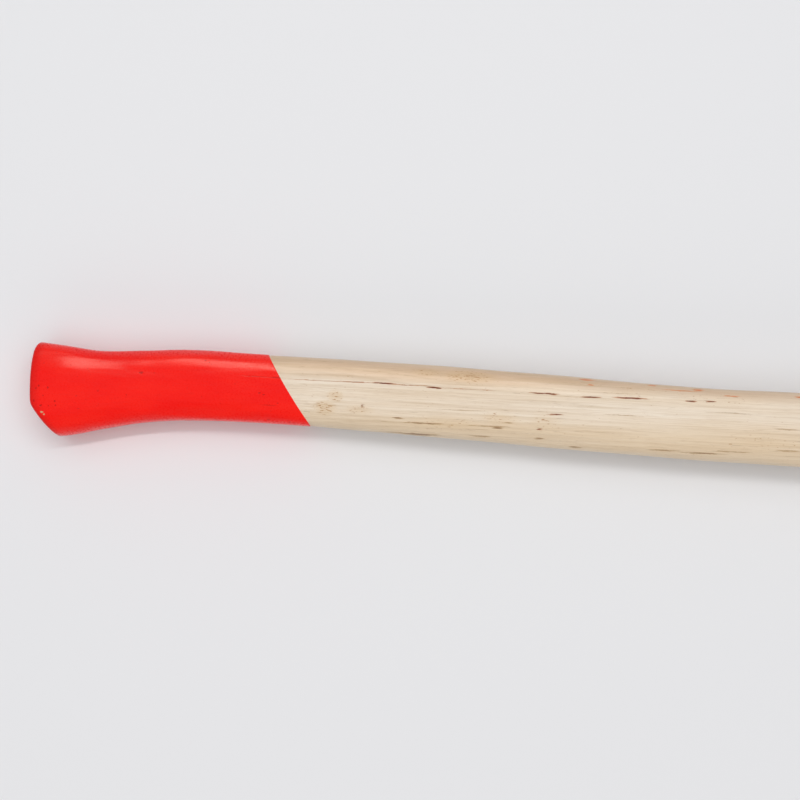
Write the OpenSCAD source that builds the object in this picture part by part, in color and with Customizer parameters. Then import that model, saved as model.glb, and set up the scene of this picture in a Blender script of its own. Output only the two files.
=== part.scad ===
// Splitting maul: a forged wedge head fixed on a curved hickory handle by a wooden and two steel
// wedges, with a dipped grip. It lies on one cheek, with +X towards the head, +Y towards the poll
// and Z up from the surface. The pieces are drawn in the maul's own axes, where the eye runs along
// X through the origin and z = 0 is the middle plane, and lie() then lays them down.

/* [Handle] */
// Length of the handle from the butt to its top end
handle_length = 800; // [650:10:950]
// Width across the knob at the butt
knob_w = 48; // [42:0.5:54]
// Thickness of the knob
knob_t = 30; // [26:0.5:34]
// Width of the grip at its narrowest
throat_w = 34.5; // [30:0.5:38]
// Thickness of the grip at its narrowest
throat_t = 24; // [21:0.5:27]
// Width of the shaft between the grip and the shoulder
shaft_w = 36.5; // [32:0.5:42]
// Thickness of the shaft
shaft_t = 25.5; // [22:0.5:30]
// Length over which the handle widens below the head
shoulder_length = 120; // [80:5:160]
// How far the shoulder stands out around the eye
shoulder_lip = 1.5; // [0.8:0.1:3]
// How far the grip is swept from the eye's axis towards the poll
grip_sweep = 29; // [15:1:40]
// Depth of the slanted cut at the toe of the knob
toe_cut = 10.5; // [6:0.5:18]
// How far the handle stands out above the head
handle_proud = 4; // [2:0.5:8]

/* [Dipped grip] */
// Distance from the butt to the middle of the dip line
dip_length = 127.5; // [90:0.5:200]
// Slant of the dip line, as length along the handle for each unit across it
dip_slant = 0.587; // [0:0.01:0.7]
// How far the dip line sags towards the butt between the grip's edges
dip_sag = 0.9; // [0:0.1:3]
// Thickness of the dipped coat
coat_t = 0.3; // [0.2:0.05:1]

/* [Head] */
// Distance from the eye's axis to the cutting edge
bit_reach = 128; // [105:1:150]
// Distance from the eye's axis to the poll face
poll_reach = 70; // [60:1:90]
// Thickness of the poll
poll_t = 52; // [44:1:62]
// Height of the poll
poll_h = 53; // [46:1:60]
// Thickness of the cheeks beside the eye
cheek_t = 54; // [48:1:60]
// Thickness across the wings
wing_t = 61; // [56:1:72]
// Distance from the eye's axis to the wings' ridge
wing_reach = 50; // [44:1:58]
// Height of the head above the eye's centre
crown_h = 31; // [27:1:36]
// Height of the head below the eye's centre
chin_h = 35; // [30:1:40]
// Height of the cutting edge's upper corner above the eye's centre
edge_up = 37; // [33:1:42]
// Depth of the cutting edge's lower corner below the eye's centre
edge_down = 43; // [38:1:48]
// Radius of the curved cutting edge
edge_radius = 200; // [160:5:300]
// Thickness left at the cutting edge
edge_t = 1.6; // [1:0.1:3]
// Bevel around the poll face
poll_bevel = 2.5; // [1:0.5:4]
// Width of the flats that turn the poll into an octagon
poll_flat = 9; // [4:0.5:14]

/* [Eye] */
// Length of the eye at its lower mouth
eye_l = 58; // [52:0.5:62]
// Thickness of the eye at its lower mouth
eye_t = 25; // [21:0.5:27]
// How much the eye widens along its length
eye_flare_l = 3; // [1:0.5:5]
// How much the eye widens across its thickness
eye_flare_t = 3.6; // [2:0.2:5]
// Chamfer at both mouths of the eye
eye_chamfer = 1.5; // [0.5:0.5:2.5]
// Gap left between the handle and the eye's wall
eye_gap = 0.05; // [0.02:0.01:0.2]

/* [Wedges] */
// Depth of the saw kerf in the top of the handle
kerf_depth = 48; // [35:1:55]
// Width of the kerf at its foot
kerf_w = 2; // [1.5:0.1:3]
// Thickness of the wooden wedge at the top
wood_wedge_t = 6.5; // [5:0.5:8]
// Depth to which the steel wedges are driven
steel_wedge_l = 26; // [20:1:32]
// Width of the steel wedges across the handle
steel_wedge_w = 20; // [14:0.5:22]
// Thickness of the steel wedges at the top
steel_wedge_t = 4; // [3:0.5:5]
// Distance of each steel wedge from the eye's axis
steel_wedge_reach = 14; // [10:0.5:18]

/* [Hidden] */

far = 400;                 // longer than any cut needs to be
oval_power = 2.4;          // superellipse power of the handle and the eye: 2 is an ellipse
oval_n = 40;               // corners in one cross-section of the handle
butt_x = crown_h + handle_proud - handle_length;
top_x = crown_h + handle_proud;
seat = handle_length - handle_proud - crown_h - chin_h; // butt to the underside of the head

// --- smooth curves through stations: [place, value], where a value may be a vector ---

function slope_at(t, i) =
    let (a = max(i - 1, 0), b = min(i + 1, len(t) - 1))
    (t[b][1] - t[a][1]) / (t[b][0] - t[a][0]);

function span_of(t, x, i = 0) = i >= len(t) - 2 || x < t[i + 1][0] ? i : span_of(t, x, i + 1);

function smooth(t, x) =
    let (
        i = span_of(t, x),
        h = t[i + 1][0] - t[i][0],
        u = (x - t[i][0]) / h,
        v = 1 - u
    )
    (1 + 2 * u) * v * v * t[i][1] + u * v * v * h * slope_at(t, i)
    + (3 - 2 * u) * u * u * t[i + 1][1] - u * u * v * h * slope_at(t, i + 1);

// --- handle ---

// Grip: distance from the butt, sweep, width and thickness, the last two from throat (0) to knob (1)
grip_shape = [
    [0, 0.945, 1, 0.7],
    [16, 0.914, 0.78, 1],
    [34, 0.924, 0.34, 0.58],
    [55, 0.98, 0.126, 0.25],
    [75, 1.01, 0.067, 0.1],
    [110, 0.95, 0, 0],
];
// Shaft: share of its length, sweep, and both sizes from throat (0) to shaft (1)
shaft_shape = [
    [0.09, 0.84, 0.25],
    [0.25, 0.614, 0.76],
    [0.35, 0.459, 1],
    [0.45, 0.314, 0.85],
    [0.55, 0.214, 0.95],
    [0.68, 0.11, 1],
    [0.84, 0.035, 1],
];
// Shoulder: share of its length, and width and thickness from shaft (0) to the head's seat (1)
shoulder_shape = [
    [0, 0.08, 0.1],
    [0.4, 0.34, 0.4],
    [0.75, 0.72, 0.75],
    [0.97, 1, 1],
];
grip_end = grip_shape[len(grip_shape) - 1][0];
shoulder_start = seat - shoulder_length;
seat_w = eye_l + 2 * shoulder_lip;
seat_t = eye_t + 2 * shoulder_lip;

// Stations along the handle: [distance from the butt, [centre line, width, thickness]]
stations = concat(
    [for (g = grip_shape) [
        g[0],
        [grip_sweep * g[1], throat_w + (knob_w - throat_w) * g[2], throat_t + (knob_t - throat_t) * g[3]]
    ]],
    [for (g = shaft_shape) [
        grip_end + (shoulder_start - grip_end) * g[0],
        [grip_sweep * g[1], throat_w + (shaft_w - throat_w) * g[2], throat_t + (shaft_t - throat_t) * g[2]]
    ]],
    [for (g = shoulder_shape) [
        shoulder_start + shoulder_length * g[0],
        [0, shaft_w + (seat_w - shaft_w) * g[1], shaft_t + (seat_t - shaft_t) * g[2]]
    ]],
    [[seat, [0, seat_w, seat_t]]]
);

// Corner i of a superellipse with half axes a along Y and b along Z
function signed_power(v, p) = sign(v) * pow(abs(v), p);
function oval(a, b, i) = [
    a * signed_power(cos(360 * i / oval_n), 2 / oval_power),
    b * signed_power(sin(360 * i / oval_n), 2 / oval_power)
];

// The butt: slightly crowned, with a slanted toe cut towards the bit and a rounded heel
butt_crown = 1.3;          // how far the butt's crown falls to the knob's edges
toe_rise = 15.5;           // how far up the knob the toe cut reaches
toe_bow = 0.25;            // share of the toe cut's depth by which it bows outwards
heel_round = 0.8;          // depth of the heel's rounding
heel_rise = 7;             // how far down the knob the heel's rounding reaches
knob_mid = grip_sweep * grip_shape[0][1];
function butt_cut(y) =
    let (
        off = (y - knob_mid) / (knob_w / 2),
        toe = max(0, toe_rise - knob_w / 2 - (y - knob_mid)) / toe_rise,
        heel = max(0, y - knob_mid - knob_w / 2 + heel_rise) / heel_rise
    )
    butt_crown * off * off + toe_cut * (toe + toe_bow * toe * (toe - 1)) + heel_round * heel * heel;

butt_fade = 45;            // rings follow the butt's cut up to here
dip_fade = 50;             // and the slanted dip line within this distance of it

// Place along the handle of a ring's corner, so that the first ring lies on the butt's cut
// and the dip ring follows the dip line
function place(s, y, inset) =
    let (
        across = y - smooth(stations, s)[0],
        sag = dip_sag * (1 - pow(across / (throat_w / 2), 2))
    )
    s + max(0, 1 - s / butt_fade) * (butt_cut(y) + inset)
    - max(0, 1 - abs(s - dip_length) / dip_fade) * (dip_slant * across + sag);

function skin_point(s, i, inset, tries = 4, at = undef) =
    let (
        shape = smooth(stations, is_undef(at) ? s : at),
        p = oval(shape[1] / 2 - inset, shape[2] / 2 - inset, i),
        y = shape[0] + p[0]
    )
    tries == 0 ? [butt_x + at, y, p[1]] : skin_point(s, i, inset, tries - 1, place(s, y, inset));

function skin_ring(s, inset) = [for (i = [0 : oval_n - 1]) skin_point(s, i, inset)];

// A ring of the eye or of the tenon inside it, at height x and grown outwards by grow
function eye_ring(x, grow) =
    let (u = (x + chin_h) / (crown_h + chin_h))
    [for (i = [0 : oval_n - 1])
        let (p = oval((eye_l + eye_flare_l * u) / 2 + grow, (eye_t + eye_flare_t * u) / 2 + grow, i))
        [x, p[0], p[1]]];

// Closed solid through rings of oval_n points; its ends are ladders between mirrored corners
module loft(rings) {
    n = oval_n;
    last = (len(rings) - 1) * n;
    sides = [for (k = [0 : len(rings) - 2]) for (i = [0 : n - 1])
        let (a = k * n + i, b = k * n + (i + 1) % n)
        each [[a, b + n, b], [a, a + n, b + n]]];
    ladder = [for (i = [0 : n / 2 - 1])
        let (a = i, b = i + 1, c = (n - i - 1) % n, d = (n - i) % n)
        each (i == 0 ? [[a, b, c]] : i == n / 2 - 1 ? [[a, b, d]] : [[a, b, c], [a, c, d]])];
    polyhedron(
        points = [for (r = rings) each r],
        faces = concat(
            sides,
            ladder,
            [for (f = ladder) [f[2] + last, f[1] + last, f[0] + last]]
        )
    );
}

dip_rings = [0, 2, 5, 9, 14, 20, 27, 35, 45, 58, 72, 90, 110, dip_length];
shaft_steps = 16;
shoulder_steps = 9;
end_break = 1;             // chamfer on the handle's top end
shaft_rings = concat(
    [for (k = [1 : shaft_steps]) dip_length + (shoulder_start - dip_length) * k / shaft_steps],
    [for (k = [1 : shoulder_steps]) shoulder_start + shoulder_length * 0.97 * k / shoulder_steps]
);

// The handle with its top whole, before the kerf is sawn
module handle_blank() {
    loft(concat(
        [for (s = dip_rings) skin_ring(s, coat_t)],
        [skin_ring(dip_length, 0)],
        [for (s = shaft_rings) skin_ring(s, 0)],
        [skin_ring(seat, 0)],
        [eye_ring(-chin_h, -eye_gap), eye_ring(top_x - end_break, -eye_gap)],
        [eye_ring(top_x, -eye_gap - end_break)]
    ));
}

// Tapered slab that the wooden wedge is cut from: its foot is as thick as the kerf
module kerf_space(reach) {
    rotate([90, 0, 0])
        linear_extrude(reach, center = true)
            polygon([
                [top_x - kerf_depth, -kerf_w / 2],
                [top_x - kerf_depth, kerf_w / 2],
                [top_x, wood_wedge_t / 2],
                [top_x, -wood_wedge_t / 2],
            ]);
}

// Steel wedge with stepped barbs, centred on y = 0 with its head level with the handle's end
module steel_wedge() {
    steps = 4;
    tip = 0.8;             // half thickness at the tip
    barb = 0.35;           // how far each step undercuts the face
    step_l = steel_wedge_l / steps;
    function half(k) = tip + (steel_wedge_t / 2 - tip) * k / steps;
    side = [for (k = [0 : steps - 1]) each [
        [top_x - steel_wedge_l + k * step_l, half(k)],
        [top_x - steel_wedge_l + (k + 1) * step_l, half(k + 1) + (k < steps - 1 ? barb : 0)],
    ]];
    linear_extrude(steel_wedge_w, center = true)
        polygon(concat(side, [for (i = [len(side) - 1 : -1 : 0]) [side[i][0], -side[i][1]]]));
}

module steel_wedges() {
    for (side = [-1, 1]) translate([0, side * steel_wedge_reach, 0]) steel_wedge();
}

module handle() {
    color("wheat")
        difference() {
            handle_blank();
            kerf_space(far);
            steel_wedges();
        }
}

module wooden_wedge() {
    color("burlywood")
        difference() {
            intersection() {
                kerf_space(far);
                loft([
                    eye_ring(-chin_h, -eye_gap),
                    eye_ring(top_x - end_break, -eye_gap),
                    eye_ring(top_x, -eye_gap - end_break),
                ]);
            }
            steel_wedges();
        }
}

// Cup of paint over the knob and grip: out along the coat's face, and back along the wood's
module grip_coat() {
    last = len(dip_rings) - 1;
    color("orangered")
        loft(concat(
            [for (s = dip_rings) skin_ring(s, 0)],
            [for (k = [last : -1 : 0]) skin_ring(dip_rings[k], coat_t)]
        ));
}

// --- head ---

cheek_front = -34;         // the cheeks are flat from here ...
cheek_back = 14;           // ... to here, past the middle of the eye
lug = 34;                  // the faces around the eye's mouths are flat this far each way
lug_run = 12;              // length in which they run out into the poll

// Half thickness from the flat cheeks to the edge, against the distance from the edge's arc centre
bit_t = [
    [-bit_reach, edge_t / 2],
    [-bit_reach + 20, edge_t / 2 + 6.6],
    [-wing_reach - 38, wing_t / 2 * 0.47],
    [-wing_reach - 20, wing_t / 2 * 0.72],
    [-wing_reach - 6, wing_t / 2 * 0.955],
    [-wing_reach, wing_t / 2],
    [-wing_reach + 7, (wing_t + cheek_t) / 4],
    [cheek_front, cheek_t / 2],
];
poll_shape_t = [
    [cheek_back, cheek_t / 2],
    [(cheek_back + poll_reach) / 2, poll_t / 2 - 0.7],
    [poll_reach - poll_bevel, poll_t / 2],
];
crown = [
    [-bit_reach - 8, edge_up + 0.6],
    [-bit_reach + 18, edge_up - 2],
    [-bit_reach * 0.6, crown_h + 1.2],
    [-lug - 4, crown_h],
];
chin = [
    [-bit_reach - 8, edge_down + 1.6],
    [-bit_reach + 25, edge_down - 6],
    [-bit_reach * 0.58, chin_h - 3],
    [-lug - lug_run, chin_h - 2.8],
    [-lug, chin_h],
];
function poll_side(h) = [
    [lug, h],
    [lug + lug_run, (poll_h / 2 + h) / 2 - 1],
    [poll_reach - poll_bevel, poll_h / 2],
];

curve_step = 2;            // spacing of the points along the head's outlines
function trace(t) =
    let (a = t[0][0], b = t[len(t) - 1][0], n = ceil((b - a) / curve_step))
    [for (k = [0 : n]) let (y = a + (b - a) * k / n) [y, smooth(t, y)]];
function flipped(points) = [for (i = [len(points) - 1 : -1 : 0]) [points[i][0], -points[i][1]]];

edge_x = (edge_up - edge_down) / 2; // height of the arc's centre
arc_y = edge_radius - bit_reach;

// Thickness of the poll and the flat cheeks, the same all the way up
module poll_thickness() {
    half = concat([[cheek_front, cheek_t / 2]], trace(poll_shape_t), [[poll_reach, poll_t / 2 - poll_bevel]]);
    rotate([90, 0, 90])
        linear_extrude(far, center = true)
            polygon(concat(half, flipped(half)));
}

// Thickness of the bit and the wings, turned about the centre of the edge's arc
module bit_thickness() {
    half = [for (p = concat(trace(bit_t), [[cheek_front + 8, cheek_t / 2]])) [arc_y - p[0], p[1]]];
    sweep = 60;
    translate([edge_x, arc_y, 0])
        rotate([0, 0, 270 - sweep / 2])
            rotate_extrude(angle = sweep, $fn = 200)
                polygon(concat(half, flipped(half)));
}

module head_height() {
    upper = concat(trace(crown), trace(poll_side(crown_h)), [[poll_reach, poll_h / 2 - poll_bevel]]);
    lower = concat(trace(chin), trace(poll_side(chin_h)), [[poll_reach, poll_h / 2 - poll_bevel]]);
    linear_extrude(far, center = true)
        polygon(concat(
            [for (p = upper) [p[1], p[0]]],
            [for (i = [len(lower) - 1 : -1 : 0]) [-lower[i][1], lower[i][0]]]
        ));
}

// Flat that cuts one long edge of the poll and runs out where the head swells towards the eye
module poll_edge_flat(up, side) {
    swell = (up > 0 ? crown_h : chin_h) + smooth(poll_shape_t, lug);
    face = poll_h / 2 + poll_t / 2 - poll_flat;
    rotate([0, -atan2(side, up), 0])
        linear_extrude(far, center = true)
            polygon([
                [swell / sqrt(2), lug],
                [face / sqrt(2), poll_reach],
                [face / sqrt(2), poll_reach + 1],
                [far, poll_reach + 1],
                [far, lug],
            ]);
}

module maul_head() {
    color("firebrick")
        difference() {
            intersection() {
                union() {
                    poll_thickness();
                    bit_thickness();
                }
                head_height();
            }
            loft([
                eye_ring(-chin_h - 1, eye_chamfer + 1),
                eye_ring(-chin_h + eye_chamfer, 0),
                eye_ring(crown_h - eye_chamfer, 0),
                eye_ring(crown_h + 1, eye_chamfer + 1),
            ]);
            for (up = [-1, 1]) for (side = [-1, 1]) poll_edge_flat(up, side);
        }
}

// --- lying on a cheek ---

// It rests on the wing and the poll, both at the handle's side of the head, and on the knob
knob_ring = grip_shape[1];
wing_foot = -smooth(chin, -wing_reach);
wing_y = arc_y - sqrt(pow(arc_y + wing_reach, 2) - pow(wing_foot - edge_x, 2)); // the ridge is an arc
rest_wing = [wing_foot, wing_y, -wing_t / 2];
rest_poll = [-poll_h / 2 + poll_flat, poll_reach - poll_bevel, -poll_t / 2];
rest_knob = [butt_x + knob_ring[0], grip_sweep * knob_ring[1], -knob_t / 2];
rest_normal = cross(rest_poll - rest_wing, rest_knob - rest_wing);
up_axis = rest_normal / norm(rest_normal) * sign(rest_normal[2]);
x_raw = [1, 0, 0] - up_axis[0] * up_axis;
x_axis = x_raw / norm(x_raw);
y_axis = cross(up_axis, x_axis);
middle = [(butt_x + top_x) / 2, (poll_reach - bit_reach) / 2, 0];

module lie() {
    multmatrix([
        concat(x_axis, -x_axis * middle),
        concat(y_axis, -y_axis * middle),
        concat(up_axis, -up_axis * rest_wing),
        [0, 0, 0, 1],
    ])
        children();
}

lie() maul_head();
lie() handle();
lie() grip_coat();
lie() wooden_wedge();
lie() color("silver") translate([0, -steel_wedge_reach, 0]) steel_wedge();  // steel_wedge_front
lie() color("silver") translate([0, steel_wedge_reach, 0]) steel_wedge();  // steel_wedge_rear
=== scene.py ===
"""Looks of the splitting maul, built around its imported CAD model.

The pieces are modelled in the maul's own axes, in millimetres: x along the eye towards the handle's
top end, y towards the poll, z = 0 in the middle plane. lay_down() then puts them where the CAD has
them, lying on one cheek, in metres.
"""

import functools
import math

import bmesh
import bpy
import numpy as np
from mathutils import Matrix, Vector, noise


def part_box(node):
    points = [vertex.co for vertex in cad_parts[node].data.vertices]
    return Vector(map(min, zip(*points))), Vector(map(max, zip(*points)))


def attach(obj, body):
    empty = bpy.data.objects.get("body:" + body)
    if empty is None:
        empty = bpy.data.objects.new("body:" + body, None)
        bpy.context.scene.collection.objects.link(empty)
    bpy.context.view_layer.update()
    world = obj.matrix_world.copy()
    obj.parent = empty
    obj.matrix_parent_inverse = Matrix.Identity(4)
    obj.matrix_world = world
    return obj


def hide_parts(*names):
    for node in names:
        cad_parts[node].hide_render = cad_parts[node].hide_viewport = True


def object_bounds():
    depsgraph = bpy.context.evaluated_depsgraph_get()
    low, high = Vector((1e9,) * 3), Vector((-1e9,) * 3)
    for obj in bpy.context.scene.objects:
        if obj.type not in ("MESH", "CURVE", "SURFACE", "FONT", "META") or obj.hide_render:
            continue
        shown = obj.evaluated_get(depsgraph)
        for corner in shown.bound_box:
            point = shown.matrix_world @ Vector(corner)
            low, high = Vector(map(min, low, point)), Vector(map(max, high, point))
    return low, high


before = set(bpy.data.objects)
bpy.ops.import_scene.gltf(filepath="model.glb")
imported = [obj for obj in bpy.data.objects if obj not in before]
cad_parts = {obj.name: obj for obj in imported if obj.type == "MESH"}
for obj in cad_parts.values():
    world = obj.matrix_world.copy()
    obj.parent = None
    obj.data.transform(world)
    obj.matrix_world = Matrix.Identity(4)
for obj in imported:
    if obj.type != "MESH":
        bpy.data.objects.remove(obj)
cad_low, cad_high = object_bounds()

MM = 0.001

# ---------------------------------------------------------------- sizes, in millimetres, as in the CAD

HANDLE_LENGTH = 800
KNOB_W, KNOB_T = 48, 30
THROAT_W, THROAT_T = 34.5, 24
SHAFT_W, SHAFT_T = 36.5, 25.5
SHOULDER_LENGTH = 120
SHOULDER_LIP = 1.5
GRIP_SWEEP = 29
BUTT_CROWN = 1.3
TOE_CUT, TOE_RISE, TOE_BOW = 10.5, 15.5, 0.25
HEEL_ROUND, HEEL_RISE = 0.8, 7
HANDLE_PROUD = 4
END_BREAK = 1
OVAL_POWER = 2.4

DIP_LENGTH = 127.5
DIP_SLANT = 0.587
DIP_SAG = 0.9
COAT_T = 0.3

BIT_REACH, POLL_REACH = 128, 70
POLL_T, POLL_H = 52, 53
POLL_BEVEL, POLL_FLAT = 2.5, 9
CHEEK_T = 54
WING_T, WING_REACH = 61, 50
CROWN_H, CHIN_H = 31, 35
EDGE_UP, EDGE_DOWN = 37, 43
EDGE_RADIUS = 200
EDGE_T = 1.6
CHEEK_FRONT, CHEEK_BACK = -34, 14
LUG, LUG_RUN = 34, 12

EYE_L, EYE_T = 58, 25
EYE_FLARE_L, EYE_FLARE_T = 3, 3.6
EYE_CHAMFER = 1.5
EYE_GAP = 0.05

KERF_DEPTH, KERF_W = 48, 2
WOOD_WEDGE_T = 6.5
STEEL_WEDGE_L, STEEL_WEDGE_W, STEEL_WEDGE_T = 26, 20, 4
STEEL_WEDGE_REACH = 14

TOP_X = CROWN_H + HANDLE_PROUD
BUTT_X = TOP_X - HANDLE_LENGTH
SEAT = HANDLE_LENGTH - HANDLE_PROUD - CROWN_H - CHIN_H
SHOULDER_START = SEAT - SHOULDER_LENGTH
ARC_Y = EDGE_RADIUS - BIT_REACH
EDGE_X = (EDGE_UP - EDGE_DOWN) / 2


# ---------------------------------------------------------------- smooth curves through stations


class Curve:
    """Smooth curve through (place, value) stations, where a value is a number or a tuple."""

    def __init__(self, stations):
        self.x = np.array([s[0] for s in stations], float)
        self.v = np.array([s[1] for s in stations], float)
        last = len(self.x) - 1
        before = np.maximum(np.arange(last + 1) - 1, 0)
        after = np.minimum(np.arange(last + 1) + 1, last)
        span = self.x[after] - self.x[before]
        self.slope = (self.v[after] - self.v[before]) / (span if self.v.ndim == 1 else span[:, None])

    def __call__(self, x):
        x = np.asarray(x, float)
        i = np.clip(np.searchsorted(self.x, x, side="right") - 1, 0, len(self.x) - 2)
        h = self.x[i + 1] - self.x[i]
        u = (x - self.x[i]) / h
        if self.v.ndim > 1:
            h, u = h[..., None], u[..., None]
        v = 1 - u
        return (
            (1 + 2 * u) * v * v * self.v[i]
            + u * v * v * h * self.slope[i]
            + (3 - 2 * u) * u * u * self.v[i + 1]
            - u * u * v * h * self.slope[i + 1]
        )


def fade(value, low, high):
    """0 below low, 1 above high, and a smooth step between."""
    u = np.clip((np.asarray(value, float) - low) / (high - low), 0, 1)
    return u * u * (3 - 2 * u)


# Grip: distance from the butt, sweep, width and thickness, the last two from throat (0) to knob (1)
GRIP_SHAPE = [
    (0, 0.945, 1, 0.7),
    (16, 0.914, 0.78, 1),
    (34, 0.924, 0.34, 0.58),
    (55, 0.98, 0.126, 0.25),
    (75, 1.01, 0.067, 0.1),
    (110, 0.95, 0, 0),
]
# Shaft: share of its length, sweep, and both sizes from throat (0) to shaft (1)
SHAFT_SHAPE = [
    (0.09, 0.84, 0.25),
    (0.25, 0.614, 0.76),
    (0.35, 0.459, 1),
    (0.45, 0.314, 0.85),
    (0.55, 0.214, 0.95),
    (0.68, 0.11, 1),
    (0.84, 0.035, 1),
]
# Shoulder: share of its length, and width and thickness from shaft (0) to the head's seat (1)
SHOULDER_SHAPE = [(0, 0.08, 0.1), (0.4, 0.34, 0.4), (0.75, 0.72, 0.75), (0.97, 1, 1)]


def handle_stations():
    """Along the handle: (distance from the butt, (centre line, width, thickness))."""
    grip_end = GRIP_SHAPE[-1][0]
    seat_w, seat_t = EYE_L + 2 * SHOULDER_LIP, EYE_T + 2 * SHOULDER_LIP

    def between(a, b, share):
        return a + (b - a) * share

    rows = [
        (s, (GRIP_SWEEP * g, between(THROAT_W, KNOB_W, w), between(THROAT_T, KNOB_T, t)))
        for s, g, w, t in GRIP_SHAPE
    ]
    rows += [
        (
            between(grip_end, SHOULDER_START, s),
            (GRIP_SWEEP * g, between(THROAT_W, SHAFT_W, k), between(THROAT_T, SHAFT_T, k)),
        )
        for s, g, k in SHAFT_SHAPE
    ]
    rows += [
        (
            SHOULDER_START + SHOULDER_LENGTH * s,
            (0, between(SHAFT_W, seat_w, w), between(SHAFT_T, seat_t, t)),
        )
        for s, w, t in SHOULDER_SHAPE
    ]
    return rows + [(SEAT, (0, seat_w, seat_t))]


handle_curve = Curve(handle_stations())


# ---------------------------------------------------------------- laying the maul down

CROWN = [
    (-BIT_REACH - 8, EDGE_UP + 0.6),
    (-BIT_REACH + 18, EDGE_UP - 2),
    (-BIT_REACH * 0.6, CROWN_H + 1.2),
    (-LUG - 4, CROWN_H),
]
CHIN = [
    (-BIT_REACH - 8, EDGE_DOWN + 1.6),
    (-BIT_REACH + 25, EDGE_DOWN - 6),
    (-BIT_REACH * 0.58, CHIN_H - 3),
    (-LUG - LUG_RUN, CHIN_H - 2.8),
    (-LUG, CHIN_H),
]


def maul_to_row():
    """The CAD's laying-down transform: onto the wing, the poll and the knob, in metres."""
    foot = -float(Curve(CHIN)(-WING_REACH))
    ridge = ARC_Y - math.sqrt((ARC_Y + WING_REACH) ** 2 - (foot - EDGE_X) ** 2)
    wing = Vector((foot, ridge, -WING_T / 2))
    poll = Vector((-POLL_H / 2 + POLL_FLAT, POLL_REACH - POLL_BEVEL, -POLL_T / 2))
    s, sweep = GRIP_SHAPE[1][:2]
    knob = Vector((BUTT_X + s, GRIP_SWEEP * sweep, -KNOB_T / 2))
    up = (poll - wing).cross(knob - wing).normalized()
    up *= math.copysign(1, up.z)
    x_axis = (Vector((1, 0, 0)) - up.x * up).normalized()
    y_axis = up.cross(x_axis)
    middle = Vector(((BUTT_X + TOP_X) / 2, (POLL_REACH - BIT_REACH) / 2, 0))
    turn = Matrix((x_axis, y_axis, up)).to_4x4()
    shift = Vector((x_axis @ middle, y_axis @ middle, up @ wing))
    return Matrix.Scale(MM, 4) @ Matrix.Translation(-shift) @ turn


MAUL_TO_ROW = maul_to_row()


# ---------------------------------------------------------------- mesh helpers


def add_mesh(name, points, faces):
    """New object in the maul's own axes, in millimetres."""
    mesh = bpy.data.meshes.new(name)
    mesh.from_pydata([tuple(map(float, p)) for p in points], [], [list(map(int, f)) for f in faces])
    mesh.validate()
    obj = bpy.data.objects.new(name, mesh)
    bpy.context.scene.collection.objects.link(obj)
    return obj


def loft(name, rings, flat_start=False):
    """Closed object through rings of equal, even length. Its ends are ladders between mirrored corners,
    or one face where the start is flat."""
    n = len(rings[0])
    last = (len(rings) - 1) * n
    i = np.arange(n)
    j = (i + 1) % n
    faces = [
        quad
        for k in range(len(rings) - 1)
        for quad in np.stack([k * n + i, k * n + n + i, k * n + n + j, k * n + j], 1)[:, ::-1]
    ]
    half = n // 2
    ladder = [[0, 1, n - 1], [half - 1, half, half + 1]]
    ladder += [[a, a + 1, n - 1 - a, n - a] for a in range(1, half - 1)]
    faces += [i[::-1]] if flat_start else [face[::-1] for face in ladder]
    faces += [[last + c for c in face] for face in ladder]
    return add_mesh(name, np.concatenate(rings), faces)


def set_ring_values(obj, name, values):
    """Keeps one number for each ring of a loft as an attribute for the materials."""
    ring_n = len(obj.data.vertices) // len(values)
    data = np.repeat(np.array(values, np.float32), ring_n)
    obj.data.attributes.new(name, "FLOAT", "POINT").data.foreach_set("value", data)


def cut(obj, *cutters):
    """Takes the cutters away from obj, and removes them."""
    for cutter in cutters:
        boolean = obj.modifiers.new("cut", "BOOLEAN")
        boolean.operation = "DIFFERENCE"
        boolean.solver = "EXACT"
        boolean.object = cutter
        apply_modifiers(obj)
        bpy.data.objects.remove(cutter)


def merge_close(obj, distance):
    """Merges points that crowd together where a section is thin."""
    bm = bmesh.new()
    bm.from_mesh(obj.data)
    bmesh.ops.remove_doubles(bm, verts=bm.verts, dist=distance)
    bmesh.ops.dissolve_degenerate(bm, edges=bm.edges, dist=0.01)
    bm.to_mesh(obj.data)
    bm.free()


def apply_modifiers(obj):
    """Makes the modified shape the object's own mesh."""
    bpy.context.view_layer.update()
    shape = obj.evaluated_get(bpy.context.evaluated_depsgraph_get())
    mesh = bpy.data.meshes.new_from_object(shape)
    obj.modifiers.clear()
    obj.data = mesh


def displace(obj, amount):
    """Moves every vertex along its normal by amount(place), in millimetres."""
    normals = [v.normal.copy() for v in obj.data.vertices]
    for v, normal in zip(obj.data.vertices, normals):
        v.co += normal * amount(v.co)
    obj.data.update()


def lay_down(obj, material, replaces, sharp_angle=38):
    """Finishes a piece: keeps its own millimetres as an attribute for the materials, lays it down,
    and hands it over to the frame."""
    mesh = obj.data
    co = np.zeros(len(mesh.vertices) * 3, np.float32)
    mesh.vertices.foreach_get("co", co)
    mesh.attributes.new("maul_mm", "FLOAT_VECTOR", "POINT").data.foreach_set("vector", co)
    mesh.transform(MAUL_TO_ROW)
    mesh.shade_smooth()
    mesh.set_sharp_from_angle(angle=math.radians(sharp_angle))
    mesh.materials.clear()
    mesh.materials.append(material)
    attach(obj, "root")
    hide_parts(replaces)
    return obj


# ---------------------------------------------------------------- node helper


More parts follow.
